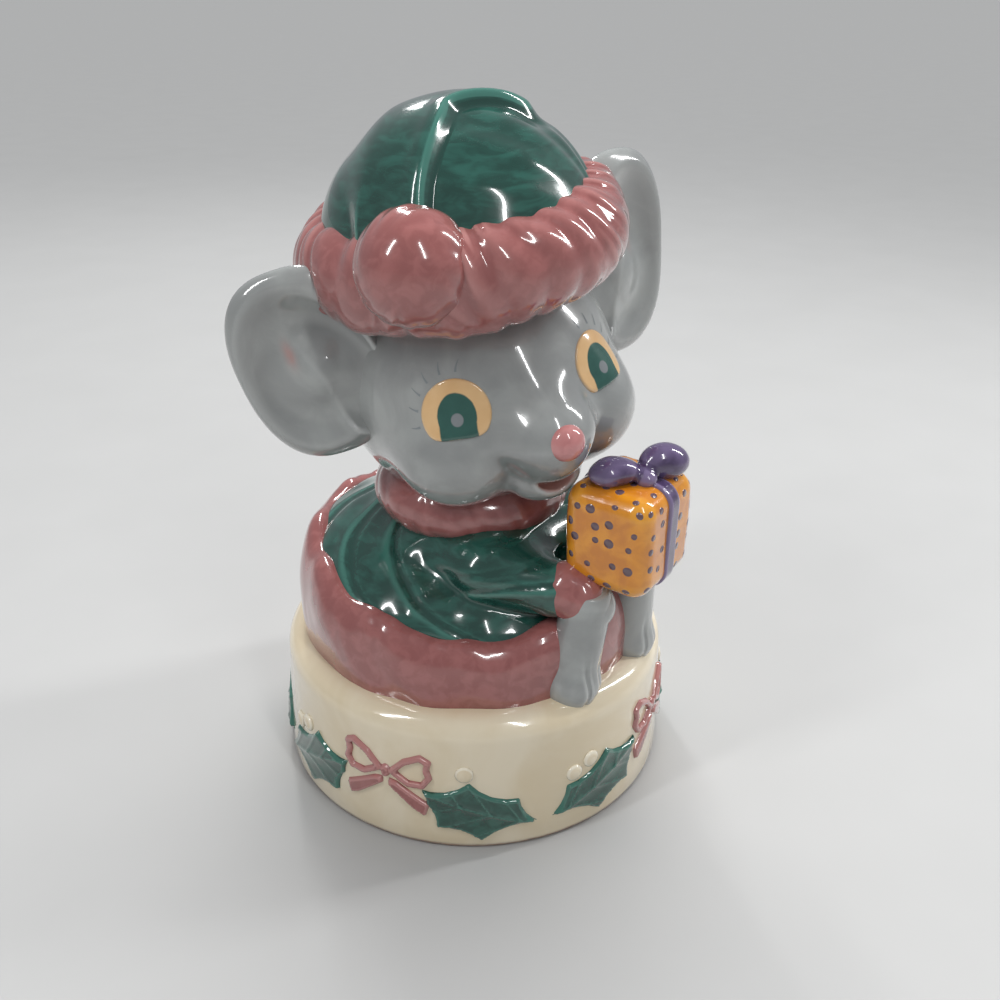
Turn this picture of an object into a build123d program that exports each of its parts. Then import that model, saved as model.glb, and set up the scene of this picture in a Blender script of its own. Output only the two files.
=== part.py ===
"""Ceramic mouse figurine: a mouse in a winter coat and hat holds a gift on a drum base."""

import os
from math import cos, radians, sin

from build123d import *

os.makedirs("parts", exist_ok=True)

# Drum base: a cone frustum, open below
base_radius = 47.5
base_top_radius = 46.3
base_height = 33.5
base_wall = 4.5
base_roof = 5.0
base_shoulder = 5.0
foot_edge = 0.8
overrun = 4.0

# Relief sprigs round the drum wall
repeat_count = 4
first_bow_angle = -75
stem_step_angle = 44
relief = 0.8
stem_height = 5.6
leaf_length = 28.0
leaf_width = 14.0
leaf_turn_angle = 15.5
leaf_tilt_angles = (157, 20)
leaf_spine_shares = ((-0.5, 0.0), (-0.2, 0.44), (0.16, 0.5), (0.5, 0.0))
leaf_scallop_share = 0.14
bow_width = 18.0
bow_height = 15.0
bow_centre_height = 19.0
bow_loop_place_shares = (0.27, 0.16)
bow_loop_size_shares = (0.25, 0.19)
bow_loop_hole_share = 0.42
bow_loop_angle = 28
bow_knot_radius = 2.0
bow_tail_shares = ((0.0, 0.0), (0.16, -0.1), (0.5, -0.36), (0.36, -0.44), (0.3, -0.58), (0.0, -0.14))
berry_radius = 1.9
berry_angles = (22, 53, 58.5)
berry_heights = (20.7, 16.4, 18.4)

# Coat: heights above the base top, section radii from the skirt to the neck
coat_height = 36.0
coat_radius = 36.6
coat_level_shares = (0.0, 0.3, 0.55, 0.72, 0.86, 1.0)
coat_radius_shares = (1.0, 1.0, 0.8, 0.53, 0.38, 0.34)
coat_setback = 1.0
coat_setback_shares = (0.6, 1.0, 1.0, 0.6, 0.2, 0.0)

# Fur hem round the skirt, lifted at the back, with soft lumps that lean round it
hem_overhang = 5.2
hem_height = 18.5
hem_level_shares = (0.0, 0.4, 0.74, 1.0)
hem_overhang_shares = (0.8, 1.0, 0.86, 0.0)
hem_lift_angles = (0, 5, 9, 11)
hem_lump_count = 12
hem_lump_points = 4
hem_lump = 0.7
hem_lump_lean_shares = (0.0, 0.3, 0.55, 0.7)

# Fur collar
collar_height = 28.5
collar_radius = 15.5
collar_thickness = 12.0
collar_round = 4.5

# Head frame: centre above the base top, turned and tilted to the mouse's right
head_height = 61.5
head_shift = (1.0, -1.7)
head_turn_angle = 25
head_tilt_angle = 10.5
skull_radius = 31.0
skull_place_shares = (0.0, 0.12, 0.03)
cheek_radius = 12.6
cheek_place_shares = (0.45, -0.46, -0.23)
muzzle_radius = 11.0
muzzle_place_shares = (0.0, -0.82, -0.25)
chin_radius = 8.5
chin_place_shares = (0.0, -0.66, -0.5)
mouth_radius = 4.0
mouth_place_shares = (0.0, -0.93, -0.55)
nose_radius = 3.9
nose_place_shares = (0.0, -1.165, -0.08)
eye_ball_radius = 9.5
eye_proud = 1.9
eye_place_shares = (0.516, -0.73, 0.16)

# Ears: cupped ovals that lean out and face a little outwards
ear_height = 45.5
ear_width = 29.0
ear_depth = 7.5
ear_wall = 2.4
ear_place_shares = (1.2, -0.03, 0.555)
ear_root_radius = 10.0
ear_root_length = 13.0
ear_root_taper_angle = 14
ear_root_place_shares = (0.72, 0.14, 0.36)
ear_face_angle = 17
ear_lean_angle = 7
ear_depth_shares = (-0.8, -0.34, 0.2)
ear_size_shares = (0.46, 0.86, 1.0)
ear_bowl_depth_share = 0.4

# Hat: heights above the head centre, along the tilted head axis
hat_level = 31.0
hat_crown_radius = 29.5
hat_crown_height = 27.0
trim_ring_radius = 26.0
trim_thickness = 17.0
trim_height = 20.0
trim_round = 8.0
fold_radius = 23.0
fold_thickness = 15.0
fold_start_angle = 20
fold_arc_angle = 95
pompom_radius = 10.8
pompom_angle = -40
pompom_rise = 6.0

# Arms: places are across, forward and above the base top
shoulder_place = (17.5, -4.0, 26.0)
elbow_place = (20.0, -18.0, 23.0)
wrist_place = (11.0, -34.0, 21.5)
shoulder_radius = 10.5
elbow_radius = 9.5
wrist_radius = 6.4
cuff_radius = 8.0
cuff_length = 9.0
cuff_reach = 3.0
cuff_round_share = 0.9
paw_radius = 5.2
paw_reach = 7.0

# Legs
foot_spread = 11.5
foot_forward = 37.0
foot_radius = 5.8
ankle_radius = 5.6
leg_height = 20.0
leg_lean = 2.0

# Gift in the arms
gift_width = 23.0
gift_depth = 20.0
gift_height = 23.0
gift_round = 3.2
gift_shift = 1.5
gift_forward = 41.0
gift_turn_angle = 4
paw_grip = 0.8
ribbon_width = 4.0
ribbon_thickness = 0.7
bow_lobe_radius = 4.3
bow_lobe_spread = 7.4
bow_lobe_rise = 3.6
bow_neck_radius = 1.6
gift_knot_radius = 3.2


def finish(piece, name):
    """Labels a finished piece and writes it."""
    piece.part.label = name
    export_step(piece.part, f"parts/{name}.step")


# Base drum
drum_axis_plane = Plane.XZ
with BuildPart() as base_drum:
    with BuildSketch(drum_axis_plane):
        with BuildLine():
            Polyline(
                (base_radius - base_wall, 0),
                (base_radius, 0),
                (base_top_radius, base_height),
                (0, base_height),
                (0, base_height - base_roof),
                (base_top_radius - base_wall, base_height - base_roof),
                close=True,
            )
        make_face()
    revolve(axis=Axis.Z)
    rims = base_drum.edges().filter_by(GeomType.CIRCLE)
    fillet(rims.group_by(Axis.Z)[-1].sort_by(SortBy.RADIUS)[-1], radius=base_shoulder)
    rims = base_drum.edges().filter_by(GeomType.CIRCLE)
    fillet(rims.group_by(Axis.Z)[0].sort_by(SortBy.RADIUS)[-1], radius=foot_edge)
finish(base_drum, "base_drum")

# Thin skin on the drum wall that the sprigs are cut from
with BuildPart() as relief_skin:
    with BuildSketch(drum_axis_plane):
        with BuildLine():
            Polyline(
                (base_radius, 0),
                (base_radius + relief, 0),
                (base_top_radius + relief, base_height),
                (base_top_radius, base_height),
                close=True,
            )
        make_face()
    revolve(axis=Axis.Z)

relief_start = min(base_radius, base_top_radius) - base_wall
relief_reach = max(base_radius, base_top_radius) + relief + overrun - relief_start
unit_angle = 360 / repeat_count
bow_angles = [first_bow_angle + unit_angle * turn for turn in range(repeat_count)]


def wall_plane(angle, height, tilt=0):
    """A plane inside the drum wall that looks outwards, with its X axis tilted up from the wall's run."""
    outward = Vector(sin(radians(angle)), -cos(radians(angle)), 0)
    along = Vector(cos(radians(angle)), sin(radians(angle)), 0)
    origin = outward * relief_start + Vector(0, 0, height)
    tilted = along * cos(radians(tilt)) + Axis.Z.direction * sin(radians(tilt))
    return Plane(origin=origin, x_dir=tilted, z_dir=outward)


with BuildPart() as holly_leaves:
    for bow_angle in bow_angles:
        for side, tilt in zip((-1, 1), leaf_tilt_angles):
            leaf_angle = bow_angle + stem_step_angle + side * leaf_turn_angle
            leaf_rise = leaf_length / 2 * sin(radians(tilt))
            with BuildSketch(wall_plane(leaf_angle, stem_height + leaf_rise, tilt)):
                with BuildLine():
                    spines = [Vector(x * leaf_length, y * leaf_width) for x, y in leaf_spine_shares]
                    for near, far in zip(spines, spines[1:]):
                        SagittaArc(near, far, leaf_scallop_share * (far - near).length)
                    mirror(about=Plane.XZ)
                make_face()
            extrude(amount=relief_reach)
    add(relief_skin.part, mode=Mode.INTERSECT)
finish(holly_leaves, "holly_leaves")

with BuildPart() as base_bows:
    for bow_angle in bow_angles:
        with BuildSketch(wall_plane(bow_angle, bow_centre_height)):
            for side in (-1, 1):
                loop_across = side * bow_loop_place_shares[0] * bow_width
                loop_rise = bow_loop_place_shares[1] * bow_height
                loop_length = bow_loop_size_shares[0] * bow_width
                loop_height = bow_loop_size_shares[1] * bow_height
                with Locations((loop_across, loop_rise)):
                    Ellipse(loop_length, loop_height, rotation=side * bow_loop_angle)
                    Ellipse(
                        loop_length * bow_loop_hole_share,
                        loop_height * bow_loop_hole_share,
                        rotation=side * bow_loop_angle,
                        mode=Mode.SUBTRACT,
                    )
                tail_points = [(side * x * bow_width, y * bow_height) for x, y in bow_tail_shares]
                with BuildLine():
                    Polyline(*tail_points, close=True)
                make_face()
            Circle(bow_knot_radius)
        extrude(amount=relief_reach)
    add(relief_skin.part, mode=Mode.INTERSECT)
finish(base_bows, "base_bows")

with BuildPart() as holly_berries:
    for bow_angle in bow_angles:
        for angle_step, berry_height in zip(berry_angles, berry_heights):
            taper = (base_radius - base_top_radius) * berry_height / base_height
            wall_radius = base_radius - taper
            berry_angle = radians(bow_angle + angle_step)
            with Locations((wall_radius * sin(berry_angle), -wall_radius * cos(berry_angle), berry_height)):
                Sphere(berry_radius)
    add(base_drum.part, mode=Mode.SUBTRACT)
    add(holly_leaves.part, mode=Mode.SUBTRACT)
finish(holly_berries, "holly_berries")

# Head frame and places in it
head_plane = Plane(
    Location((head_shift[0], head_shift[1], base_height + head_height))
    * Location((0, 0, 0), (0, 0, -head_turn_angle))
    * Location((0, 0, 0), (0, -head_tilt_angle, 0))
)
head_forward = head_plane.y_dir * -1


def on_skull(shares, side=1):
    """A place in the head frame given as shares of the skull's size."""
    across, back, up = (share * skull_radius for share in shares)
    return head_plane.location * Location((side * across, back, up))


# Head: skull, muzzle, chin and cheeks, with the open mouth cut in
with BuildPart() as head:
    with Locations(on_skull(skull_place_shares)):
        Sphere(skull_radius)
    with Locations(on_skull(muzzle_place_shares)):
        Sphere(muzzle_radius)
    with Locations(on_skull(chin_place_shares)):
        Sphere(chin_radius)
    with Locations(on_skull(cheek_place_shares), on_skull(cheek_place_shares, side=-1)):
        Sphere(cheek_radius)
    with Locations(on_skull(mouth_place_shares)):
        Sphere(mouth_radius, mode=Mode.SUBTRACT)
finish(head, "head")

with BuildPart() as nose:
    with Locations(on_skull(nose_place_shares)):
        Sphere(nose_radius)
    add(head.part, mode=Mode.SUBTRACT)
finish(nose, "nose")

# Outward direction of the skull at an eye
eye_slope = (Vector(*eye_place_shares) - Vector(*skull_place_shares)).normalized()
for side, side_name in ((-1, "right"), (1, "left")):
    with BuildPart() as eye:
        eye_direction = Vector(side * eye_slope.X, eye_slope.Y, eye_slope.Z)
        eye_sink = Location(eye_direction * (eye_proud - eye_ball_radius))
        with Locations(on_skull(eye_place_shares, side) * eye_sink):
            Sphere(eye_ball_radius)
        add(head.part, mode=Mode.SUBTRACT)
    finish(eye, f"{side_name}_eye")

# Hat crown with the tip folded over towards the pompom
hat_plane = head_plane.offset(hat_level)
hat_half_plane = Plane(origin=hat_plane.origin, x_dir=head_plane.x_dir, z_dir=head_forward)
hat_axis = Axis(hat_plane.origin, hat_plane.z_dir)

# Plane through the crown where the folded tip starts, and the axis that it bends round
fold_heading = hat_plane.x_dir * sin(radians(pompom_angle)) - hat_plane.y_dir * cos(radians(pompom_angle))
fold_across = hat_plane.z_dir.cross(fold_heading)
fold_start = hat_plane.z_dir * cos(radians(fold_start_angle)) - fold_heading * sin(radians(fold_start_angle))
fold_plane = Plane(origin=hat_plane.origin, x_dir=fold_across, z_dir=fold_across.cross(fold_start))
fold_axis = Axis(hat_plane.origin, fold_across)

with BuildPart() as hat_crown:
    with BuildSketch(hat_half_plane):
        with BuildLine():
            EllipticalCenterArc((0, 0), hat_crown_radius, hat_crown_height, start_angle=0, arc_size=90)
            Polyline((0, hat_crown_height), (0, 0), (hat_crown_radius, 0))
        make_face()
    revolve(axis=hat_axis)
    with BuildSketch(fold_plane):
        with Locations((0, fold_radius)):
            Circle(fold_thickness / 2)
    revolve(axis=fold_axis, revolution_arc=fold_arc_angle)
    with Locations(fold_plane.from_local_coords(Vector(0, fold_radius, 0))):
        Sphere(fold_thickness / 2)
    add(head.part, mode=Mode.SUBTRACT)
finish(hat_crown, "hat_crown")

with BuildPart() as pompom:
    pompom_reach = trim_ring_radius + trim_thickness / 2 - pompom_radius / 2
    with Locations(hat_plane.origin + fold_heading * pompom_reach + hat_plane.z_dir * pompom_rise):
        Sphere(pompom_radius)
    add(head.part, mode=Mode.SUBTRACT)
    add(hat_crown.part, mode=Mode.SUBTRACT)
finish(pompom, "pompom")

with BuildPart() as hat_trim:
    with BuildSketch(hat_half_plane):
        with Locations((trim_ring_radius, 0)):
            RectangleRounded(trim_thickness, trim_height, trim_round)
    revolve(axis=hat_axis)
    add(head.part, mode=Mode.SUBTRACT)
    add(hat_crown.part, mode=Mode.SUBTRACT)
    add(pompom.part, mode=Mode.SUBTRACT)
finish(hat_trim, "hat_trim")

# Ears
for side, side_name in ((-1, "right"), (1, "left")):
    outward = head_plane.x_dir * (side * cos(radians(ear_face_angle)))
    outward = outward + head_plane.y_dir * sin(radians(ear_face_angle))
    ear_up = outward * sin(radians(ear_lean_angle)) + head_plane.z_dir * cos(radians(ear_lean_angle))
    facing = head_plane.y_dir * -cos(radians(ear_face_angle))
    facing = facing + head_plane.x_dir * (side * sin(radians(ear_face_angle)))
    ear_plane = Plane(origin=on_skull(ear_place_shares, side).position, x_dir=ear_up, z_dir=facing)
    with BuildPart() as ear:
        for depth_share, size_share in zip(ear_depth_shares, ear_size_shares):
            with BuildSketch(ear_plane.offset(depth_share * ear_depth)):
                Ellipse(size_share * ear_height / 2, size_share * ear_width / 2)
        loft()
        root_origin = on_skull(ear_root_place_shares, side).position
        with BuildSketch(Plane(origin=root_origin, x_dir=head_plane.y_dir, z_dir=head_plane.x_dir * side)):
            Circle(ear_root_radius)
        extrude(amount=ear_root_length, taper=ear_root_taper_angle)
        for depth_share, size_share in zip(ear_depth_shares, ear_size_shares):
            below_rim_share = (ear_depth_shares[-1] - depth_share) * (1 - ear_bowl_depth_share)
            bowl_depth = (ear_depth_shares[-1] - below_rim_share) * ear_depth
            with BuildSketch(ear_plane.offset(bowl_depth)):
                Ellipse(size_share * ear_height / 2 - ear_wall, size_share * ear_width / 2 - ear_wall)
        loft(mode=Mode.SUBTRACT)
        add(head.part, mode=Mode.SUBTRACT)
        add(hat_crown.part, mode=Mode.SUBTRACT)
        add(hat_trim.part, mode=Mode.SUBTRACT)
    finish(ear, f"{side_name}_ear")

# Coat
coat_levels = [base_height + share * coat_height for share in coat_level_shares]
with BuildPart() as coat:
    for level, radius_share, setback_share in zip(coat_levels, coat_radius_shares, coat_setback_shares):
        with BuildSketch(Plane.XY.offset(level)):
            with Locations((0, setback_share * coat_setback)):
                Circle(coat_radius * radius_share)
    loft()
    add(head.part, mode=Mode.SUBTRACT)
finish(coat, "coat")

with BuildPart() as collar:
    with BuildSketch(Plane.XZ):
        with Locations((collar_radius, base_height + collar_height)):
            RectangleRounded(collar_thickness, collar_thickness, collar_round)
    revolve(axis=Axis.Z)
    add(head.part, mode=Mode.SUBTRACT)
    add(coat.part, mode=Mode.SUBTRACT)
finish(collar, "collar")


def hem_outline(overhang_share, lean_share):
    """Points round one section of the hem, with its lumps turned by a share of their spacing."""
    points = []
    for index in range(hem_lump_count * hem_lump_points):
        lump_turn = index / hem_lump_points
        angle = radians(360 * (lump_turn + lean_share) / hem_lump_count)
        lump = hem_lump * cos(radians(360 * lump_turn))
        radius = coat_radius + (hem_overhang + lump) * overhang_share
        points.append((radius * cos(angle), radius * sin(angle)))
    return points


with BuildPart() as coat_hem:
    hem_shares = zip(hem_level_shares, hem_overhang_shares, hem_lump_lean_shares)
    for (level_share, overhang_share, lean_share), lift_angle in zip(hem_shares, hem_lift_angles):
        hem_level = base_height + level_share * hem_height
        with BuildSketch(Plane(origin=(0, coat_setback, hem_level)).rotated((lift_angle, 0, 0))):
            with BuildLine():
                Spline(*hem_outline(overhang_share, lean_share), periodic=True)
            make_face()
    loft()
    add(coat.part, mode=Mode.SUBTRACT)
finish(coat_hem, "coat_hem")

# Gift
paw_height = wrist_place[2]
gift_bottom = base_height + paw_height + paw_radius - paw_grip
gift_plane = Plane(origin=(gift_shift, -gift_forward, gift_bottom)).rotated((0, 0, gift_turn_angle))
with BuildPart() as gift_form:
    with BuildSketch(gift_plane):
        Rectangle(gift_width, gift_depth)
    extrude(amount=gift_height)
    fillet(gift_form.edges(), radius=gift_round)

with BuildPart() as gift_box:
    add(gift_form.part)
    add(head.part, mode=Mode.SUBTRACT)
finish(gift_box, "gift_box")

ribbon_plane = gift_plane.offset(-ribbon_thickness)
with BuildPart() as gift_ribbon:
    with BuildSketch(ribbon_plane):
        Rectangle(ribbon_width, gift_depth + 2 * ribbon_thickness)
    extrude(amount=gift_height + 2 * ribbon_thickness)
    across_gift = Axis(gift_plane.origin, gift_plane.x_dir)
    fillet(gift_ribbon.edges().filter_by(across_gift), radius=gift_round + ribbon_thickness)
    add(gift_form.part, mode=Mode.SUBTRACT)
    add(head.part, mode=Mode.SUBTRACT)
finish(gift_ribbon, "gift_ribbon")

lid_plane = gift_plane.offset(gift_height)
with BuildPart() as gift_bow:
    for side in (-1, 1):
        lobe_root = lid_plane.origin + gift_plane.z_dir * bow_lobe_rise
        lobe_plane = Plane(origin=lobe_root, x_dir=gift_plane.y_dir, z_dir=gift_plane.x_dir * side)
        with BuildSketch(lobe_plane):
            Circle(bow_neck_radius)
        with BuildSketch(lobe_plane.offset(bow_lobe_spread)):
            Circle(bow_lobe_radius)
        loft()
        with Locations(lobe_plane.offset(bow_lobe_spread).origin):
            Sphere(bow_lobe_radius)
    with Locations(lid_plane.origin + gift_plane.z_dir * (gift_knot_radius / 2)):
        Sphere(gift_knot_radius)
    add(gift_form.part, mode=Mode.SUBTRACT)
    add(gift_ribbon.part, mode=Mode.SUBTRACT)
    add(head.part, mode=Mode.SUBTRACT)
finish(gift_bow, "gift_bow")

# Legs and arms, the mouse's right side first
for side, side_name in ((-1, "right"), (1, "left")):
    with BuildPart() as foot:
        with BuildSketch(Plane.XY.offset(base_height - base_shoulder)):
            with Locations((side * foot_spread, -foot_forward)):
                Circle(foot_radius)
        with BuildSketch(Plane.XY.offset(base_height + leg_height)):
            with Locations((side * foot_spread, leg_lean - foot_forward)):
                Circle(ankle_radius)
        loft()
        add(base_drum.part, mode=Mode.SUBTRACT)
        add(coat.part, mode=Mode.SUBTRACT)
        add(coat_hem.part, mode=Mode.SUBTRACT)

    arm_places = [
        Vector(side * place[0], place[1], base_height + place[2])
        for place in (shoulder_place, elbow_place, wrist_place)
    ]
    arm_radii = (shoulder_radius, elbow_radius, wrist_radius)
    hand_direction = (arm_places[2] - arm_places[1]).normalized()
    with BuildPart() as sleeve:
        for index, place in enumerate(arm_places):
            ahead = arm_places[min(index + 1, len(arm_places) - 1)]
            behind = arm_places[max(index - 1, 0)]
            with BuildSketch(Plane(origin=place, x_dir=(0, 0, 1), z_dir=ahead - behind)):
                Circle(arm_radii[index])
        loft()
        add(coat.part, mode=Mode.SUBTRACT)
        add(coat_hem.part, mode=Mode.SUBTRACT)
        add(collar.part, mode=Mode.SUBTRACT)
        add(head.part, mode=Mode.SUBTRACT)
        add(foot.part, mode=Mode.SUBTRACT)
        add(gift_form.part, mode=Mode.SUBTRACT)
    finish(sleeve, f"{side_name}_sleeve")

    with BuildPart() as cuff:
        cuff_start = arm_places[2] - hand_direction * (cuff_length - cuff_reach)
        with BuildSketch(Plane(origin=cuff_start, z_dir=hand_direction)):
            Circle(cuff_radius)
        extrude(amount=cuff_length)
        fillet(cuff.edges().filter_by(GeomType.CIRCLE), radius=cuff_length / 2 * cuff_round_share)
        add(sleeve.part, mode=Mode.SUBTRACT)
        add(coat.part, mode=Mode.SUBTRACT)
        add(coat_hem.part, mode=Mode.SUBTRACT)
        add(gift_form.part, mode=Mode.SUBTRACT)
        add(gift_ribbon.part, mode=Mode.SUBTRACT)
    finish(cuff, f"{side_name}_cuff")

    with BuildPart() as paw:
        paw_place = arm_places[2] + hand_direction * paw_reach
        with Locations(Vector(paw_place.X, paw_place.Y, base_height + paw_height)):
            Sphere(paw_radius)
        add(cuff.part, mode=Mode.SUBTRACT)
        add(gift_form.part, mode=Mode.SUBTRACT)
        add(gift_ribbon.part, mode=Mode.SUBTRACT)
    finish(paw, f"{side_name}_paw")

    with BuildPart() as leg:
        add(foot.part)
        add(sleeve.part, mode=Mode.SUBTRACT)
        add(cuff.part, mode=Mode.SUBTRACT)
        add(paw.part, mode=Mode.SUBTRACT)
    finish(leg, f"{side_name}_foot")
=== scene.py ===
"""Glazed ceramic mouse figurine: sculpted pieces, painted glazes, studio light and camera."""

from math import cos, radians, sin

import bpy
import numpy as np
from mathutils import Matrix, Vector


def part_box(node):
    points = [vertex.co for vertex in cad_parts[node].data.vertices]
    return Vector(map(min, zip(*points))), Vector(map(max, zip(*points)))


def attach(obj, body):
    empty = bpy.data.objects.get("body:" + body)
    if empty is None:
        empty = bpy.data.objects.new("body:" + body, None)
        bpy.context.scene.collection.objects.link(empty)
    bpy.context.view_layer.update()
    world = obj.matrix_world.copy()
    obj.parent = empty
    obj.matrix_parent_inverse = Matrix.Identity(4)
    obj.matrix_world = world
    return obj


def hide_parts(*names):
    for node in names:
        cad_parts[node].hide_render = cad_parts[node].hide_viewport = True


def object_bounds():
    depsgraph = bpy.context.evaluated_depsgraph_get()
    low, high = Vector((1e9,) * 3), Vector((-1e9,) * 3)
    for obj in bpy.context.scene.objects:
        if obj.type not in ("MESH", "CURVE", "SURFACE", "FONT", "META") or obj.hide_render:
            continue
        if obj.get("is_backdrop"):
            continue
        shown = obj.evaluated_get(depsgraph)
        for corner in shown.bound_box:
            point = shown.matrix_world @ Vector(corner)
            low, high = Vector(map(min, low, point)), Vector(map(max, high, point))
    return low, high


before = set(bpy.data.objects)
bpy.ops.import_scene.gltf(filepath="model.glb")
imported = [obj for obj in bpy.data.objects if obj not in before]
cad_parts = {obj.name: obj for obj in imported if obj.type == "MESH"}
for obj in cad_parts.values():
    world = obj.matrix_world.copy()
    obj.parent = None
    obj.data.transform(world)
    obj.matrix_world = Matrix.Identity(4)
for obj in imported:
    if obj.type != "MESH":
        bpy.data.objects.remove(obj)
cad_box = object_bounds()

# Sculpting is in millimetres in the row frame, and meshes are written in metres
MM = 0.001
SIDES = {"right": -1, "left": 1}

# Drum base
base_low, base_high = (np.array(corner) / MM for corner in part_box("base_drum"))
base_radius = base_high[0]
base_top = base_high[2]
base_top_radius = 46.3
base_shoulder = 5.0
base_wall = 4.5
base_roof = 5.0
base_segments = 240

# Sprigs on the drum wall: angles run from the front to the mouse's left
repeat_count = 4
first_bow_angle = -75
stem_step_angle = 44
stem_height = 5.6
leaf_length = 30.5
leaf_tilts = {-1: -20, 1: 22}
leaf_spine_shares = ((0, 0), (0.33, 0.22), (0.74, 0.19), (1, 0), (0.6, -0.27), (0.24, -0.28), (0.1, -0.11))
leaf_scallop = 0.13
leaf_relief = 0.8
bow_height = 18.6
bow_stroke = 1.15
bow_relief = 0.75
bow_loop = ((1.6, 0.4), (4.6, 3.6), (8.2, 5.4), (10.0, 4.4), (9.5, 2.3), (10.2, 0.3), (8.8, -1.9), (5.4, -2.0))
bow_tail = ((0.5, -1.6), (2.8, -2.0), (10.6, -6.6), (9.6, -10.4), (6.8, -8.9), (0.5, -3.6))
sprig_sink = 2.0
berry_radii = (2.1, 0.75)
berry_angles = (22, 53, 58.5)
berry_heights = (20.7, 16.4, 18.4)

# Coat, hem and collar: pairs of values are for the front and the back
coat_setback = np.array([0, 1.0, 0])
coat_skirt_radius = 36.6
coat_neck_radius = 12.4
coat_bend_heights = (44.0, 56.0)
coat_neck_heights = (68.5, 71.0)
chest_place = np.array([0, -13.0, 57.5])
chest_radii = (17.0, 13.0, 10.0)
fold_angles = (58, 84, 112, 150)
fold_lean = 3.6
fold_width = 2.4
fold_height = 0.3
hem_ring_radius = 36.4
hem_width = 5.2
hem_heights = (11.5, 25.5)
hem_front_rise = 7.5
hem_front_spread = 0.5
hem_belly_share = 0.4
hem_lump_count = 12
hem_lump = 0.22
collar_height = 68.4
collar_ring_radius = 16.2
collar_half = (6.4, 6.4)

# Arms, one side of the mouse
shoulder = np.array([13.0, -5.0, 59.5])
elbow = np.array([15.5, -17.0, 57.4])
wrist = np.array([11.5, -31.5, 57.0])
sleeve_radii = (6.0, 7.0, 6.4)
cuff_start = np.array([10.6, -34.6, 57.4])
cuff_end = np.array([9.8, -36.6, 56.6])
cuff_radius = 6.2
foreleg_foot = np.array([11.5, -37.2, 33.0])
foreleg_top = np.array([9.4, -39.0, 56.0])
foreleg_radii = (5.7, 5.3)
leg_sink = 2.0
paw_place = np.array([8.2, -39.8, 54.4])
paw_radii = (4.8, 4.9, 5.4)

# Head frame: turned and tilted to the mouse's right
head_centre = np.array([1.0, -1.7, 95.0])
head_turn_angle = 25
head_tilt_angle = 10.5

# Eyes: across and up from the middle of each eye
eye_radii = (7.2, 7.0)
eye_low = 5.2
iris_place = (-0.2, -0.7)
iris_radii = (3.7, 4.5)

# Gift
gift_centre = np.array([1.2, -41.4, 70.6])
gift_half = np.array([11.5, 10.0, 11.5])
gift_round = 4.2
gift_turn_angle = 4
gift_bow_angle = -35
ribbon_half_width = 2.0
ribbon_relief = 0.6
dot_spacing = 4.4
dot_radius = 0.95


# Fields of signed distances
def rotation(axis, angle):
    """A turn about a named axis, in degrees."""
    return np.array(Matrix.Rotation(radians(angle), 3, axis))


def egg(p, centre, radii, turn=np.eye(3)):
    """Distance to an ellipsoid whose axes are the columns of turn."""
    q = (p - np.asarray(centre)) @ turn
    near = np.linalg.norm(q / radii, axis=1)
    slope = np.linalg.norm(q / np.square(radii), axis=1)
    return near * (near - 1) / np.maximum(slope, 1e-6)


def limb(p, start, end, start_radius, end_radius):
    """Distance to a tapered stick with round ends."""
    along = end - start
    share = np.clip((p - start) @ along / (along @ along), 0, 1)
    middle = start + share[:, None] * along
    return np.linalg.norm(p - middle, axis=1) - start_radius - (end_radius - start_radius) * share


def rounded_box(q, half, round_radius):
    """Distance to a box with rounded edges, centred on the origin."""
    over = np.abs(q) - (np.asarray(half) - round_radius)
    outside = np.linalg.norm(np.maximum(over, 0), axis=1)
    return outside + np.minimum(over.max(1), 0) - round_radius


def join(a, b, blend):
    """Union of two fields with a soft seam."""
    near = np.maximum(blend - np.abs(a - b), 0) / blend
    return np.minimum(a, b) - near * near * blend / 4


def carve(a, b, blend):
    """The first field with the second one cut out, with a soft edge."""
    return -join(-a, b, blend)


def bump(x, width):
    """A smooth hill of height 1 at zero."""
    return np.exp(-np.square(x / width))


def ease(x, start, end):
    """Rises smoothly from 0 at start to 1 at end."""
    t = np.clip((x - start) / (end - start), 0, 1)
    return t * t * (3 - 2 * t)


def wander(p, size, seed):
    """Smooth noise from -1 to 1 with lumps of about the given size."""
    dice = np.random.default_rng(seed)
    total = np.zeros(len(p))
    for _ in range(7):
        wave = dice.normal(size=3) * 2.2 / size
        total += np.sin(p @ wave + dice.uniform(0, 6.28))
    return total / 3.5


def strands(phase):
    """Soft grooves between locks of fur: low in a groove and 1 on a lock."""
    return np.sqrt(0.1 + 0.9 * np.square(np.sin(phase / 2)))


def between(pair, share):
    """A value between the first and the second of a pair."""
    return pair[0] + (pair[1] - pair[0]) * share


# Meshes from fields
BLOCK = 8


def sample(field, low, counts, step):
    """Field values on a grid, exact near the surface and rough elsewhere."""
    blocks = counts // BLOCK
    index = np.stack(np.meshgrid(*[np.arange(n) for n in blocks], indexing="ij"), -1)
    centres = low + (index * BLOCK + (BLOCK - 1) / 2) * step
    rough = field(centres.reshape(-1, 3)).reshape(blocks)
    near = np.abs(rough) < 1.3 * step * BLOCK
    for axis in range(3):
        rough = rough.repeat(BLOCK, axis)
        near = near.repeat(BLOCK, axis)
    rough[near] = field(low + np.argwhere(near) * step)
    return rough


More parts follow.
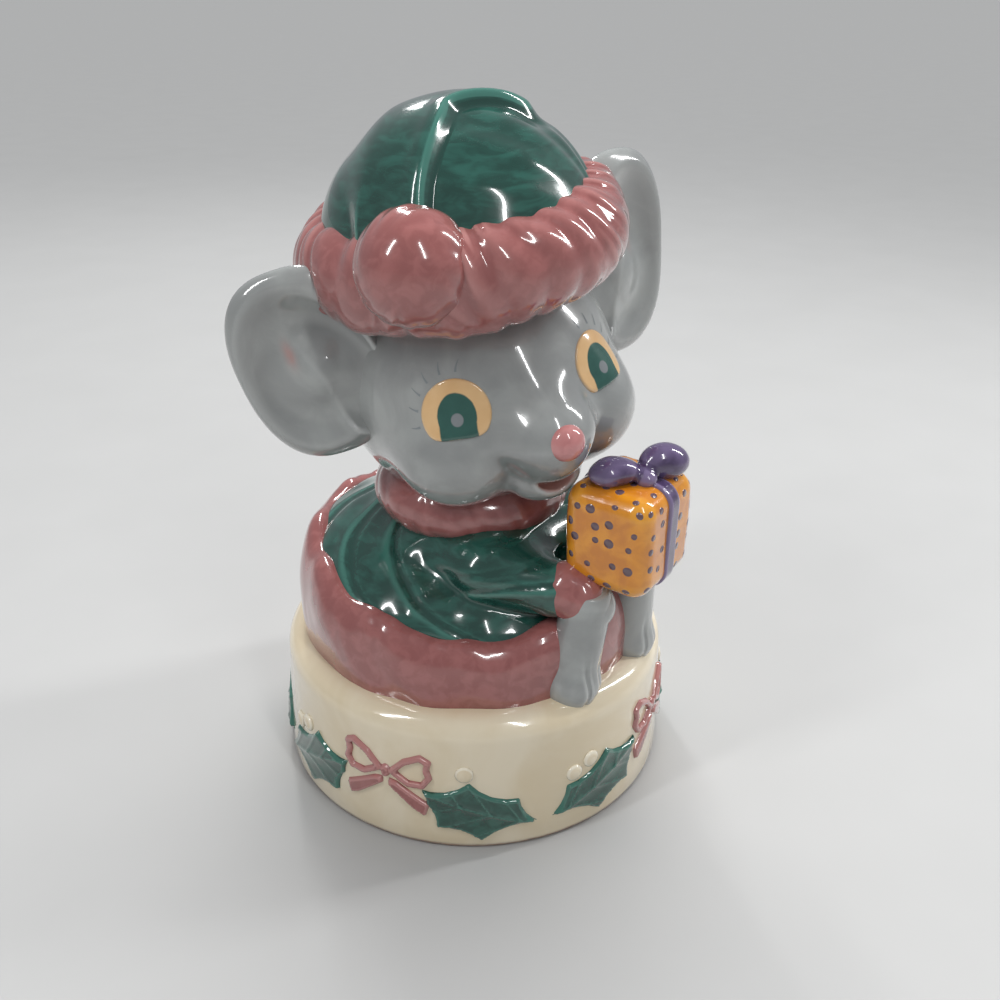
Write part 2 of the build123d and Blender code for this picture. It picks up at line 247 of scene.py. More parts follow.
def skin(values):
    """Cells that the surface crosses, and the quads that join them."""
    inside = values < 0
    cells = np.array(inside.shape) - 1
    filled = np.zeros(cells, int)
    for x, y, z in np.ndindex(2, 2, 2):
        filled += inside[x : cells[0] + x, y : cells[1] + y, z : cells[2] + z]
    mixed = (filled > 0) & (filled < 8)
    number = np.full(cells, -1)
    number[mixed] = np.arange(mixed.sum())
    quads = []
    for axis in range(3):
        order = (axis, (axis + 1) % 3, (axis + 2) % 3)
        solid = inside.transpose(order)[:, 1:-1, 1:-1]
        cell = number.transpose(order)
        around = [cell[:, :-1, :-1], cell[:, 1:, :-1], cell[:, 1:, 1:], cell[:, :-1, 1:]]
        around = np.stack(around, -1)
        outward = solid[:-1] & ~solid[1:]
        inward = solid[1:] & ~solid[:-1]
        quads += [around[outward], around[inward][:, ::-1]]
    return np.argwhere(mixed), np.concatenate(quads)


def slope(field, p, reach=0.05):
    """Gradient of a field, and its curvature."""
    middle = field(p)
    parts = []
    bend = -6 * middle
    for axis in np.eye(3):
        ahead, behind = field(p + reach * axis), field(p - reach * axis)
        parts.append((ahead - behind) / (2 * reach))
        bend += ahead + behind
    return middle, np.stack(parts, 1), bend / reach**2


def settle(field, p, step, rounds):
    """Moves points onto the surface."""
    for _ in range(rounds):
        middle, rise, _ = slope(field, p)
        size = np.maximum(np.square(rise).sum(1), 0.1)
        p = p + np.clip(-(middle / size)[:, None] * rise, -step, step)
    return p


def relax(p, quads, share):
    """Moves each point towards the mean of its neighbours."""
    ends = np.concatenate([quads[:, [k, (k + 1) % 4]] for k in range(4)])
    count = np.bincount(ends[:, 0], minlength=len(p))
    for axis in range(3):
        mean = np.bincount(ends[:, 0], p[ends[:, 1], axis], len(p)) / np.maximum(count, 1)
        p[:, axis] += share * (mean - p[:, axis])
    return p


def dress(name, points, faces, material, node=None, marks=None):
    """Makes a piece from points in millimetres, with painted marks as attributes."""
    mesh = bpy.data.meshes.new(name)
    mesh.from_pydata((points * MM).tolist(), [], faces.tolist())
    for mark, values in (marks or {}).items():
        if values.ndim == 1:
            mesh.attributes.new(mark, "FLOAT", "POINT").data.foreach_set("value", values)
        else:
            mesh.attributes.new(mark, "FLOAT_VECTOR", "POINT").data.foreach_set("vector", values.ravel())
    mesh.shade_smooth()
    mesh.materials.append(material)
    piece = bpy.data.objects.new(name, mesh)
    bpy.context.scene.collection.objects.link(piece)
    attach(piece, "root")
    if node:
        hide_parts(node)
    return piece


def sculpt(node, field, step, material, margin=3.0, marks=None):
    """Meshes a field near a CAD node, and lets the mesh stand for that node."""
    low, high = (np.array(corner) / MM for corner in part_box(node))
    low, high = low - margin, high + margin
    middle, half = (low + high) / 2, (high - low) / 2 - 1.5 * step

    def closed(p):
        return np.maximum(field(p), rounded_box(p - middle, half, 0))

    counts = np.ceil((high - low) / step / BLOCK).astype(int) * BLOCK
    cells, quads = skin(sample(closed, low, counts, step))
    points = low + (cells + 0.5) * step
    for _ in range(2):
        points = settle(closed, relax(points, quads, 0.6), step, 2)
    _, _, bend = slope(field, points, reach=0.6)
    painted = {"ridge": np.clip(bend, -2, 2)}
    for mark, paint in (marks or {}).items():
        painted[mark] = paint(points)
    return dress(f"{node}_glazed", points, quads, material, node, painted)


# Glazes
class Glaze:
    """The node graph of one glaze."""

    def __init__(self, name):
        self.material = bpy.data.materials.new(name)
        self.material.use_nodes = True
        self.tree = self.material.node_tree
        self.shader = self.tree.nodes["Principled BSDF"]
        self.shader.inputs["Roughness"].default_value = 0.16
        self.shader.inputs["IOR"].default_value = 1.5
        self.shader.inputs["Coat Weight"].default_value = 1.0
        self.shader.inputs["Coat Roughness"].default_value = 0.03

    def put(self, value, socket):
        """Links a socket's output, or sets a plain value."""
        if isinstance(value, bpy.types.NodeSocket):
            self.tree.links.new(value, socket)
        else:
            socket.default_value = value

    def node(self, kind, **settings):
        """A new node of a kind, with its settings."""
        made = self.tree.nodes.new(f"ShaderNode{kind}")
        for name, value in settings.items():
            setattr(made, name, value)
        return made

    def attribute(self, name, output="Fac"):
        """A mark painted on the mesh."""
        return self.node("Attribute", attribute_name=name).outputs[output]

    def noise(self, size, stretch=(1, 1, 1), detail=3.0, distortion=0.0):
        """Noise in the row frame with lumps of a size in millimetres."""
        place = self.node("TexCoord").outputs["Object"]
        mapping = self.node("Mapping")
        self.put(place, mapping.inputs["Vector"])
        mapping.inputs["Scale"].default_value = stretch
        noise = self.node("TexNoise")
        self.put(mapping.outputs["Vector"], noise.inputs["Vector"])
        noise.inputs["Scale"].default_value = 1 / (size * MM)
        noise.inputs["Detail"].default_value = detail
        noise.inputs["Distortion"].default_value = distortion
        return noise.outputs["Fac"]

    def span(self, value, start, end):
        """0 below start and 1 above end."""
        node = self.node("MapRange", interpolation_type="SMOOTHSTEP")
        self.put(value, node.inputs["Value"])
        node.inputs["From Min"].default_value = start
        node.inputs["From Max"].default_value = end
        return node.outputs["Result"]

    def math(self, operation, *values):
        """One sum on numbers."""
        node = self.node("Math", operation=operation)
        for value, socket in zip(values, node.inputs):
            self.put(value, socket)
        return node.outputs["Value"]

    def mix(self, share, first, second):
        """A mix of two colours."""
        node = self.node("Mix", data_type="RGBA")
        self.put(share, node.inputs["Factor"])
        for value, socket in zip((first, second), (node.inputs[6], node.inputs[7])):
            self.put(value if isinstance(value, bpy.types.NodeSocket) else (*value, 1), socket)
        return node.outputs[2]

    def finish(self, colour, waves=None, depth=0.1):
        """Connects the colour and the fine waves of the surface."""
        self.put(colour, self.shader.inputs["Base Color"])
        relief = self.node("Bump")
        relief.inputs["Strength"].default_value = depth
        relief.inputs["Distance"].default_value = 0.4 * MM
        self.put(waves or self.noise(3.5, detail=1.0), relief.inputs["Height"])
        self.put(relief.outputs["Normal"], self.shader.inputs["Normal"])
        return self.material


def brushed(name, colour, deep, thin, size=6.0, stretch=(1, 1, 1)):
    """A brushed glaze, deeper in grooves and thinner on ridges."""
    glaze = Glaze(name)
    strokes = glaze.noise(size, stretch, detail=5.0, distortion=0.6)
    body = glaze.mix(glaze.span(strokes, 0.38, 0.68), deep, colour)
    ridge = glaze.attribute("ridge")
    body = glaze.mix(glaze.span(ridge, 0.1, 0.9), body, thin)
    body = glaze.mix(glaze.span(glaze.math("MULTIPLY", ridge, -1.0), 0.1, 1.0), body, deep)
    return glaze, body


def plain_glaze(*settings, **more):
    """A brushed glaze with nothing painted on it."""
    glaze, body = brushed(*settings, **more)
    return glaze.finish(body)


green = plain_glaze(
    "coat_green", (0.016, 0.1, 0.076), (0.005, 0.05, 0.037), (0.05, 0.19, 0.15), stretch=(1, 1, 3)
)
leaf_green = plain_glaze("leaf_green", (0.018, 0.11, 0.08), (0.008, 0.06, 0.043), (0.04, 0.16, 0.12), size=3)
pink = plain_glaze("pink_glaze", (0.37, 0.128, 0.12), (0.3, 0.096, 0.09), (0.47, 0.2, 0.185), size=3)
purple = plain_glaze("ribbon_purple", (0.105, 0.07, 0.17), (0.06, 0.036, 0.1), (0.2, 0.15, 0.28), size=3)
orange = plain_glaze("gift_orange", (0.8, 0.31, 0.012), (0.64, 0.21, 0.006), (0.88, 0.42, 0.04), size=5)
berry_cream = plain_glaze("berry_cream", (0.82, 0.72, 0.54), (0.74, 0.62, 0.42), (0.87, 0.8, 0.65))
nose_pink = plain_glaze("nose_pink", (0.56, 0.2, 0.2), (0.44, 0.13, 0.13), (0.66, 0.3, 0.29), size=3)
grey = plain_glaze("grey_glaze", (0.36, 0.375, 0.365), (0.27, 0.28, 0.275), (0.46, 0.475, 0.465), size=14)


def cream_glaze():
    """The drum's cream glaze, turning brown along its lowest millimetre."""
    glaze, body = brushed("cream_glaze", (0.83, 0.73, 0.55), (0.76, 0.64, 0.44), (0.88, 0.81, 0.66), size=22)
    height = glaze.node("SeparateXYZ")
    glaze.put(glaze.node("TexCoord").outputs["Object"], height.inputs["Vector"])
    foot = glaze.math("ADD", height.outputs["Z"], glaze.math("MULTIPLY", glaze.noise(4), -0.8 * MM))
    body = glaze.mix(glaze.span(foot, 0.9 * MM, 0.1 * MM), body, (0.32, 0.17, 0.09))
    return glaze.finish(body)


def head_glaze():
    """Grey glaze with a pink mouth."""
    glaze, body = brushed("head_glaze", (0.36, 0.375, 0.365), (0.28, 0.29, 0.285), (0.45, 0.465, 0.455), size=14)
    body = glaze.mix(glaze.attribute("mouth"), body, (0.5, 0.24, 0.2))
    return glaze.finish(body)


def ear_glaze():
    """Grey glaze with a pink smear in the bowl."""
    glaze, body = brushed("ear_glaze", (0.36, 0.375, 0.365), (0.28, 0.29, 0.285), (0.45, 0.465, 0.455), size=14)
    body = glaze.mix(glaze.math("MULTIPLY", glaze.attribute("smear"), glaze.noise(2.5)), body, (0.5, 0.19, 0.16))
    return glaze.finish(body)


def eye_glaze():
    """Peach eye with a green iris that is flat below, and a grey pupil."""
    glaze = Glaze("eye_peach")
    place = glaze.node("SeparateXYZ")
    glaze.put(glaze.attribute("eye_place", "Vector"), place.inputs["Vector"])
    wobble = glaze.math("MULTIPLY", glaze.noise(2.5), 0.5)
    across, up = place.outputs["X"], place.outputs["Y"]

    def oval(across_middle, up_middle, across_radius, up_radius):
        a = glaze.math("DIVIDE", glaze.math("SUBTRACT", across, across_middle), across_radius)
        b = glaze.math("DIVIDE", glaze.math("SUBTRACT", up, up_middle), up_radius)
        return glaze.math("SQRT", glaze.math("ADD", glaze.math("MULTIPLY", a, a), glaze.math("MULTIPLY", b, b)))

    peach = glaze.mix(glaze.noise(5), (0.7, 0.41, 0.17), (0.85, 0.58, 0.3))
    edge = glaze.math("MULTIPLY", wobble, 0.16)
    rim = glaze.span(glaze.math("ADD", oval(0, 0, *eye_radii), edge), 0.98, 1.1)
    body = glaze.mix(rim, peach, (0.36, 0.375, 0.365))
    arch = glaze.span(glaze.math("ADD", oval(iris_place[0], iris_place[1], *iris_radii), edge), 1.14, 1.06)
    sides = glaze.math("ABSOLUTE", glaze.math("SUBTRACT", across, iris_place[0]))
    sides = glaze.span(glaze.math("ADD", sides, wobble), iris_radii[0] + 0.45, iris_radii[0] + 0.1)
    below = glaze.span(up, iris_place[1] + 0.3, iris_place[1])
    low = glaze.span(glaze.math("ADD", up, wobble), -eye_low + 0.1, -eye_low + 0.4)
    iris = glaze.math("MAXIMUM", arch, glaze.math("MULTIPLY", sides, below))
    iris = glaze.math("MULTIPLY", iris, low)
    green_mix = glaze.mix(glaze.noise(3), (0.01, 0.07, 0.055), (0.028, 0.12, 0.095))
    body = glaze.mix(iris, body, green_mix)
    body = glaze.mix(glaze.span(oval(iris_place[0], iris_place[1] - 0.6, 1.2, 1.3), 1.15, 0.9), body, (0.22, 0.24, 0.25))
    return glaze.finish(body)


def plain_paint(name, colour):
    """Thin glaze paint for dots and lashes."""
    glaze = Glaze(name)
    return glaze.finish(glaze.mix(glaze.noise(2), colour, tuple(1.5 * part for part in colour)))


cream = cream_glaze()
face_grey = head_glaze()
ear_grey = ear_glaze()
eye_peach = eye_glaze()
dot_paint = plain_paint("dot_paint", (0.1, 0.06, 0.075))
lash_paint = plain_paint("lash_paint", (0.19, 0.21, 0.22))


# Drum base
def drum_profile():
    """Outline of the drum's section, from the middle of its top round to the middle of its roof inside."""
    shoulder = [radians(90 - turn) for turn in range(0, 91, 9)]
    middle = np.array([base_top_radius - base_shoulder, base_top - base_shoulder])
    arc = [middle + base_shoulder * np.array([cos(turn), sin(turn)]) for turn in shoulder]
    rows = [(share * middle[0], base_top) for share in (0, 0.25, 0.5, 0.75)] + [tuple(point) for point in arc]
    for share in (0.8, 0.6, 0.4, 0.2, 0.06):
        rows.append((base_radius + (base_top_radius - base_radius) * share, share * middle[1]))
    rows += [(base_radius - 0.3, 0.4), (base_radius - 0.9, 0), (base_radius - base_wall, 0)]
    rows += [(base_top_radius - base_wall, base_top - base_roof), (0, base_top - base_roof)]
    return np.array(rows)


def build_drum():
    """Turns the profile, with a slight hand-made waver."""
    rows = drum_profile()
    turns = np.linspace(0, 2 * np.pi, base_segments, endpoint=False)
    waver = 1 + 0.003 * np.sin(2 * turns + 1) + 0.002 * np.sin(3 * turns)
    radius = rows[:, 0][:, None] * np.minimum(waver, 1)
    height = np.repeat(rows[:, 1][:, None], base_segments, 1)
    points = np.stack([radius * np.cos(turns), radius * np.sin(turns), height], -1).reshape(-1, 3)
    number = np.arange(len(points)).reshape(len(rows), base_segments)
    after = np.roll(number, -1, 1)
    quads = np.stack([number[:-1], number[1:], after[1:], after[:-1]], -1).reshape(-1, 4)
    flat = {"ridge": np.zeros(len(points))}
    return dress("base_drum_glazed", points, quads, cream, "base_drum", flat)


# Sprigs, sculpted flat as along, up and out of the wall, then wrapped on the drum
def wall_radius(height):
    """Radius of the drum's wall at a height."""
    return base_radius + (base_top_radius - base_radius) * height / base_top


def unrolled(p):
    """Angle in degrees from the front, height and depth out of the wall."""
    angle = np.degrees(np.arctan2(p[:, 0], -p[:, 1]))
    depth = np.hypot(p[:, 0], p[:, 1]) - wall_radius(p[:, 2])
    return angle, p[:, 2], depth


def along_wall(angle, middle):
    """Distance along the wall from a sprig's middle angle."""
    apart = (angle - middle + 180) % 360 - 180
    return np.radians(apart) * (base_radius + base_top_radius) / 2


def outline_distance(q, outline):
    """Signed distance in a plane to a closed outline."""
    best = np.full(len(q), np.inf)
    inside = np.zeros(len(q), bool)
    for start, end in zip(outline, np.roll(outline, -1, 0)):
        side = end - start
        share = np.clip((q - start) @ side / (side @ side), 0, 1)
        best = np.minimum(best, np.linalg.norm(q - start - share[:, None] * side, axis=1))
        crosses = (start[1] > q[:, 1]) != (end[1] > q[:, 1])
        reach = start[0] + (q[:, 1] - start[1]) * side[0] / (side[1] if side[1] else 1e-9)
        inside ^= crosses & (q[:, 0] < reach)
    return np.where(inside, -best, best)


def raised(flat, depth, relief, edge):
    """A low relief with a soft edge from its flat distance, sunk a little into the wall."""
    front = depth - (relief + 1) * ease(-flat, -0.1, edge) + 1
    return 0.6 * np.maximum.reduce([front, -sprig_sink - depth, flat - 0.2])


def leaf_outline():
    """Holly outline: hollow scallops from spine to spine, from the tip to the stem and back."""
    spines = np.array(leaf_spine_shares) * leaf_length
    points = []
    for start, end in zip(spines, np.roll(spines, -1, 0)):
        across = np.array([-(end - start)[1], (end - start)[0]])
        for share in (0, 0.25, 0.5, 0.75):
            points.append(start + share * (end - start) - 4 * share * (1 - share) * leaf_scallop * across)
    return np.array(points)


def leaf_field(p):
    """Pairs of holly leaves that meet at a stem."""
    outline = leaf_outline()
    angle, height, depth = unrolled(p)
    best = np.full(len(p), 9.0)
    for turn in range(repeat_count):
        stem_angle = first_bow_angle + 360 / repeat_count * turn + stem_step_angle
        flat = np.stack([along_wall(angle, stem_angle), height - stem_height], 1)
        for side, tilt in leaf_tilts.items():
            axis = np.array([side * cos(radians(tilt)), sin(radians(abs(tilt)))])
            upward = np.array([-axis[1], axis[0]]) * side
            q = np.stack([leaf_length - flat @ axis, flat @ upward], 1)
            near = (np.abs(q[:, 0] - leaf_length / 2) < leaf_length) & (np.abs(q[:, 1]) < leaf_length / 2)
            if not near.any():
                continue
            q = q[near]
            vein = bump(q[:, 1], 0.5) + 0.7 * bump((np.abs(q[:, 1]) + 0.8 * q[:, 0]) % 5.6 - 2.8, 0.45)
            relief = leaf_relief + 0.28 * vein - 0.25 * bump(np.abs(q[:, 1]) - 3, 2)
            best[near] = np.minimum(best[near], raised(outline_distance(q, outline), depth[near], relief, 0.9))
    return best


def bow_field(p):
    """Bows with two heart-shaped loops, a knot and two tails."""
    angle, height, depth = unrolled(p)
    best = np.full(len(p), 9.0)
    for turn in range(repeat_count):
        bow_angle = first_bow_angle + 360 / repeat_count * turn
        along, up = along_wall(angle, bow_angle), height - bow_height
        near = np.hypot(along, up) < 20
        if not near.any():
            continue
        q = np.stack([np.abs(along[near]), up[near]], 1)
        loop = np.abs(outline_distance(q, np.array(bow_loop))) - bow_stroke
        tail = outline_distance(q, np.array(bow_tail)) - 0.2
        knot = np.hypot(q[:, 0] / 1.5, q[:, 1] / 2.2) * 1.6 - 1.6
        flat = np.minimum(np.minimum(loop, tail), knot)
        best[near] = raised(flat, depth[near], bow_relief, 0.8)
    return best


def berry_field(p):
    """Low round berry bumps left in the cream."""
    angle, height, depth = unrolled(p)
    best = np.full(len(p), 9.0)
    for turn in range(repeat_count):
        for step_angle, berry_height in zip(berry_angles, berry_heights):
            along = along_wall(angle, first_bow_angle + 360 / repeat_count * turn + step_angle)
            q = np.stack([along, height - berry_height, depth], 1)
            best = np.minimum(best, egg(q, (0, 0, 0), (berry_radii[0], berry_radii[0], berry_radii[1])))
    return best


# Coat
def around(p):
    """Distance from the coat's axis, angle from the front, share of the way to the back, and height."""
    q = p - coat_setback
    spin = np.arctan2(q[:, 0], -q[:, 1])
    return np.hypot(q[:, 0], q[:, 1]), spin, (1 - np.cos(spin)) / 2, q[:, 2]


def coat_field(p):
    """Skirt that bends in to the neck, higher at the back, with folds that sweep down to the front."""
    reach, spin, back, height = around(p)
    start, end = between(coat_bend_heights, back), between(coat_neck_heights, back)
    share = np.clip((height - start) / (end - start), 0, 1)
    narrowing = coat_neck_radius - coat_skirt_radius
    steep = narrowing * 6 * share * (1 - share) / (end - start)
    radius = coat_skirt_radius + narrowing * share * share * (3 - 2 * share)
    body = (reach - radius) / np.sqrt(1 + np.square(steep))
    fade = ease(height, 43, 48) * ease(height, end - 1, end - 7)
    for fold_angle in fold_angles:
        offset = np.degrees(np.abs(spin)) - fold_angle - fold_lean * (height - 50)
        ridge = 0.8 * bump(offset - 2 * fold_width, 2 * fold_width)
        body += fold_height * fade * (bump(offset, fold_width) - ridge)
    body = 0.9 * body + 0.2 * wander(p, 9, 3)
    body = join(body, egg(p, chest_place, chest_radii), 6)
    seam = 1 + 7 * ease(height - elbow[2], -3, 4)
    for side in SIDES.values():
        body = join(body, sleeve_field(side)(p), seam)
    return body


def hem_field(p):
    """Fat fur hem that lies on the drum and rises at the back, with soft lumps that lean round it."""
    reach, spin, back, height = around(p)
    full_height = between(hem_heights, back) + hem_front_rise * bump(spin, hem_front_spread)
    share = (height - base_top) / full_height
    over = share - hem_belly_share
    up = np.where(over > 0, over / (1 - hem_belly_share), 0.45 * over / hem_belly_share)
    out = (reach - hem_ring_radius) / hem_width
    roll = np.power(np.power(np.abs(out), 2.3) + np.power(np.abs(up), 2.3), 1 / 2.3)
    lumps = np.cos(hem_lump_count * spin + 4.4 * share + 1.2 * wander(p, 22, 5))
    strokes = strands(5 * share + 38 * spin + 3 * wander(p, 13, 6)) * ease(wander(p, 16, 7), -0.3, 0.7)
    relief = hem_lump * lumps + 0.16 * wander(p, 10, 9) + 0.14 * strokes
    return hem_width * (roll - 1) - relief


def collar_field(p):
    """Fur collar under the chin, brushed smooth."""
    q = p - coat_setback
    out = np.hypot(q[:, 0], q[:, 1]) - collar_ring_radius
    up = q[:, 2] - collar_height
    spin = np.arctan2(q[:, 0], -q[:, 1])
    roll = np.hypot(out / collar_half[0], up / collar_half[1])
    strokes = strands(24 * spin + 0.5 * up + 3 * wander(p, 9, 4))
    return collar_half[1] * (roll - 1) - 0.25 * strokes - 0.25 * wander(p, 7, 2)


# Arms
def mirrored(place, side):
    """A place on the mouse's right or left."""
    return place * np.array([side, 1, 1])


def sleeve_field(side):
    """Wide sleeve from the shoulder to the wrist, with soft folds along it."""
    places = [mirrored(place, side) for place in (shoulder, elbow, wrist)]

    def field(p):
        upper = limb(p, places[0], places[1], sleeve_radii[0], sleeve_radii[1])
        lower = limb(p, places[1], places[2], sleeve_radii[1], sleeve_radii[2])
        below = p[:, 2] - elbow[2] + 0.25 * (p[:, 1] - elbow[1])
        folds = bump(below + 1, 0.6) - bump(below + 2.5, 1.2) + 0.7 * bump(below - 2.5, 0.7)
        return join(upper, lower, 5) + 0.25 * folds + 0.15 * wander(p, 8, 12)

    return field


def cuff_field(side):
    """Fur cuff round the wrist."""
    start, end = mirrored(cuff_start, side), mirrored(cuff_end, side)

    def field(p):
        return limb(p, start, end, cuff_radius, cuff_radius) - 0.2 * wander(p, 8, 15)

    return field


def foreleg_field(side):
    """Front leg that stands on the drum, with two lines between its toes."""
    foot, top = mirrored(foreleg_foot, side), mirrored(foreleg_top, side)

    def field(p):
        leg = limb(p, foot, top, *foreleg_radii)
        toes_pad = egg(p, foot + [0, -0.5, 2.6], (6.0, 6.2, 4.4))
        leg = join(leg, toes_pad, 3)
        across = p[:, 0] - foot[0]
        toes = bump(across - 1.9, 0.5) + bump(across + 1.9, 0.5)
        front = ease(p[:, 1] - foot[1], -2.5, -5) * ease(p[:, 2], 46, 39)
        leg = leg + 0.3 * toes * front + 0.12 * wander(p, 9, 21)
        return np.maximum(leg, base_top - leg_sink - p[:, 2])

    return field


def paw_field(side):
    """Paw at the leg's top that carries the gift."""
    place = mirrored(paw_place, side)

    def field(p):
        return egg(p, place, paw_radii)

    return field


# Head, in its own frame: the mouse's left, back and up
head_turn = rotation("Z", -head_turn_angle) @ rotation("Y", -head_tilt_angle)


def to_head(p):
    """Places in the head's frame."""
    return (p - head_centre) @ head_turn


def from_head(q):
    """Places in the row frame."""
    return head_centre + np.asarray(q) @ head_turn.T


def mouth_distance(q):
    """Distance to the small open smile."""
    lifted = 0.07 * np.square(q[:, 0])
    bend = q + np.stack([0 * lifted, -0.6 * lifted, -lifted], 1)
    return egg(bend, (0, -31.5, -14.2), (4.5, 4.2, 1.6))


def head_shape(q):
    """Skull, puffed cheeks, muzzle and chin, with the mouth cut in."""
    skull = egg(q, (0, 3.7, 0.9), (31, 31, 30.6))
    cheeks = egg(np.abs(q) * [1, 0, 0] + q * [0, 1, 1], (14.4, -14.6, -6.6), (13.2, 13, 12.4))
    chin = egg(q, (0, -23.4, -13.4), (8.6, 8.2, 6.6))
    muzzle = egg(q, (0, -28.0, -4.8), (8.8, 9.4, 7.8))
    bridge = limb(q, np.array([0, -20.0, 6.0]), np.array([0, -29.0, -2.0]), 7.0, 7.2)
    face = join(join(skull, cheeks, 5), chin, 2)
    face = join(face, bridge, 7)
    face = join(face, muzzle, 2.4 + 5 * ease(q[:, 2], -9, -2))
    return carve(face, mouth_distance(q), 0.9)


def head_field(p):
    """The head in the row frame."""
    return head_shape(to_head(p)) + 0.1 * wander(p, 16, 31)


eye_guess = np.array([16.2, -22.8, 5.0])
eye_relief = 0.25
eye_dome = 0.7


def eye_frame(side):
    """Where an eye sits on the head: its middle and its axes outwards from the nose, up and forward."""
    guess = from_head(eye_guess * [side, 1, 1])[None]
    place = settle(head_field, guess, 2.0, 6)
    forward = slope(head_field, place)[1][0]
    forward = forward / np.linalg.norm(forward)
    up = head_turn[:, 2] - forward * (head_turn[:, 2] @ forward)
    up = up / np.linalg.norm(up)
    return place[0], np.stack([side * np.cross(up, forward), up, forward], 1)


def build_eye(side_name, side):
    """A low dome on the face, flat below, with its painted places marked on it."""
    place, axes = eye_frame(side)

    def field(p):
        q = (p - place) @ axes
        oval = np.hypot(q[:, 0] / eye_radii[0], q[:, 1] / eye_radii[1])
        outline = -join(-eye_radii[0] * (oval - 1), eye_low + q[:, 1], 1.5)
        dome = head_field(p) - eye_relief - eye_dome * np.maximum(1 - oval * oval, 0)
        sheet = np.maximum(dome, -1.5 - head_field(p))
        return -join(-sheet, -outline, 0.6)

    def eye_place(p):
        return (p - place) @ axes * [1, 1, 0]

    sculpt(f"{side_name}_eye", field, 0.3, eye_peach, 5.0, {"eye_place": eye_place})


def nose_field(p):
    """Nose on the tip of the muzzle."""
    return egg(to_head(p), (0, -36.8, -2.0), (3.9, 3.3, 3.8))


ear_middles = {-1: np.array([-37.2, -1.0, 15.2]), 1: np.array([37.2, -1.0, 17.2])}
ear_face_angle = 17
ear_lean_angle = 7
ear_radii = {-1: (14.6, 20.8, 6.0), 1: (14.6, 22.9, 6.0)}
ear_squareness = 2.5


def ear_frame(side):
    """Middle of an ear and its axes outwards, up and forward, in the head's frame."""
    face, lean = radians(ear_face_angle), radians(ear_lean_angle)
    outward = np.array([side * cos(face), sin(face), 0])
    up = outward * sin(lean) + np.array([0, 0, cos(lean)])
    across = outward * cos(lean) - np.array([0, 0, sin(lean)])
    forward = np.array([side * sin(face), -cos(face), 0])
    return ear_middles[side], np.stack([across, up, forward], 1)


def ear_field(side):
    """Cupped ear with a crease along its bowl, on a thick root."""
    middle, axes = ear_frame(side)
    width, height, depth = ear_radii[side]

    def field(p):
        q = to_head(p)
        e = (q - middle) @ axes
        oval = np.power(np.abs(e[:, :2] / (width, height)), ear_squareness).sum(1) ** (1 / ear_squareness)
        shell = depth * (np.hypot(oval, (e[:, 2] + 1) / depth) - 1)
        bowl = egg(e, (1.4, 0.5, 6.6), (width - 1, height - 1.3, 8.6))
        fold = egg(e, (-6.0, -2.0, 3.2), (8.0, 18.5, 7.4), rotation("Z", -20))
        shell = carve(carve(shell, bowl, 1.6), fold, 0.8)
        root = limb(q, np.array([side * 25, 5, 9]), np.array([side * 34, 3.4, 13]), 9.5, 7.0)
        return join(shell, root, 7) + 0.1 * wander(p, 12, 41)

    return field


def ear_smear(side):
    """Where pink paint rubbed off on the crease."""
    middle, axes = ear_frame(side)

    def mark(p):
        e = (to_head(p) - middle) @ axes
        return bump(e[:, 0] - 3.2, 1.0) * bump(e[:, 1] - 3.5, 2.4) * ease(e[:, 2], -6, 0)

    return mark


# Hat
hat_middle = np.array([0.8, 0, 31.0])
crown_radii = (29.4, 29.4, 27.0)
crown_sink = 4.0
flap_angle = -40
flap_rise = 2.3
flap_left = -12.5
trim_ring_radius = 26.0
trim_half = (8.6, 9.8)
pompom_place = np.array([-18.7, -22.6, 35.6])
pompom_radius = 10.9


def crown_field(p):
    """Hat crown whose tip folds over as a flap to the pompom, with shallow dents beside it."""
    q = to_head(p) - hat_middle
    turn = radians(flap_angle)
    ahead = q @ np.array([sin(turn), -cos(turn), 0])
    aside = q @ np.array([cos(turn), sin(turn), 0])
    climb = np.degrees(np.arctan2(q[:, 2], ahead))
    edge = 3.5 + 2 * ease(climb, 30, 70) + 12 * ease(climb, 72, 106)
    on_flap = ease(edge - aside, -0.5, 1.6) * ease(climb, 125, 98)
    on_flap *= ease(aside - flap_left, -1 - 5 * ease(climb, 20, 60), 1 + 3 * ease(climb, 20, 60))
    flap = flap_rise * on_flap * (0.7 + 0.45 * bump(edge - aside - 2.4, 2.6))
    beside = ease(aside - edge, 0, 3) * ease(aside - edge, 24, 8) * ease(climb, 20, 40)
    dents = beside * np.sin(np.radians(climb * 17 + 3 * (aside - edge)))
    pit = bump(np.hypot(aside - 17.5, ahead + 3), 3.0) * ease(q[:, 2], 5, 12)
    dome = egg(q, (0, 0, 0), crown_radii)
    crown = 0.85 * (dome - flap + 0.2 * dents + 1.2 * pit) + 0.2 * wander(p, 13, 51)
    return np.maximum(crown, -crown_sink - q[:, 2])


def trim_field(p):
    """Fur band with broad curved locks and finer strokes between them."""
    q = to_head(p) - hat_middle
    out, up = np.hypot(q[:, 0], q[:, 1]) - trim_ring_radius, q[:, 2]
    spin = np.arctan2(q[:, 0], -q[:, 1])
    roll = np.hypot(out / trim_half[0], up / trim_half[1])
    sway = 0.08 * up + 0.022 * np.square(up + 2) + 2.6 * wander(p, 20, 61)
    locks = strands(30 * spin + sway)
    strokes = strands(58 * spin + 0.5 * up + 2 * sway + 2 * wander(p, 9, 64))
    strength = ease(wander(p, 26, 62), -0.8, 0.8)
    patches = ease(wander(p, 15, 65), -0.2, 0.7)
    relief = (0.55 + 0.75 * strength) * (locks - 0.6) + 0.28 * patches * strokes
    return trim_half[0] * (roll - 1) - relief - 0.4 * wander(p, 14, 63)


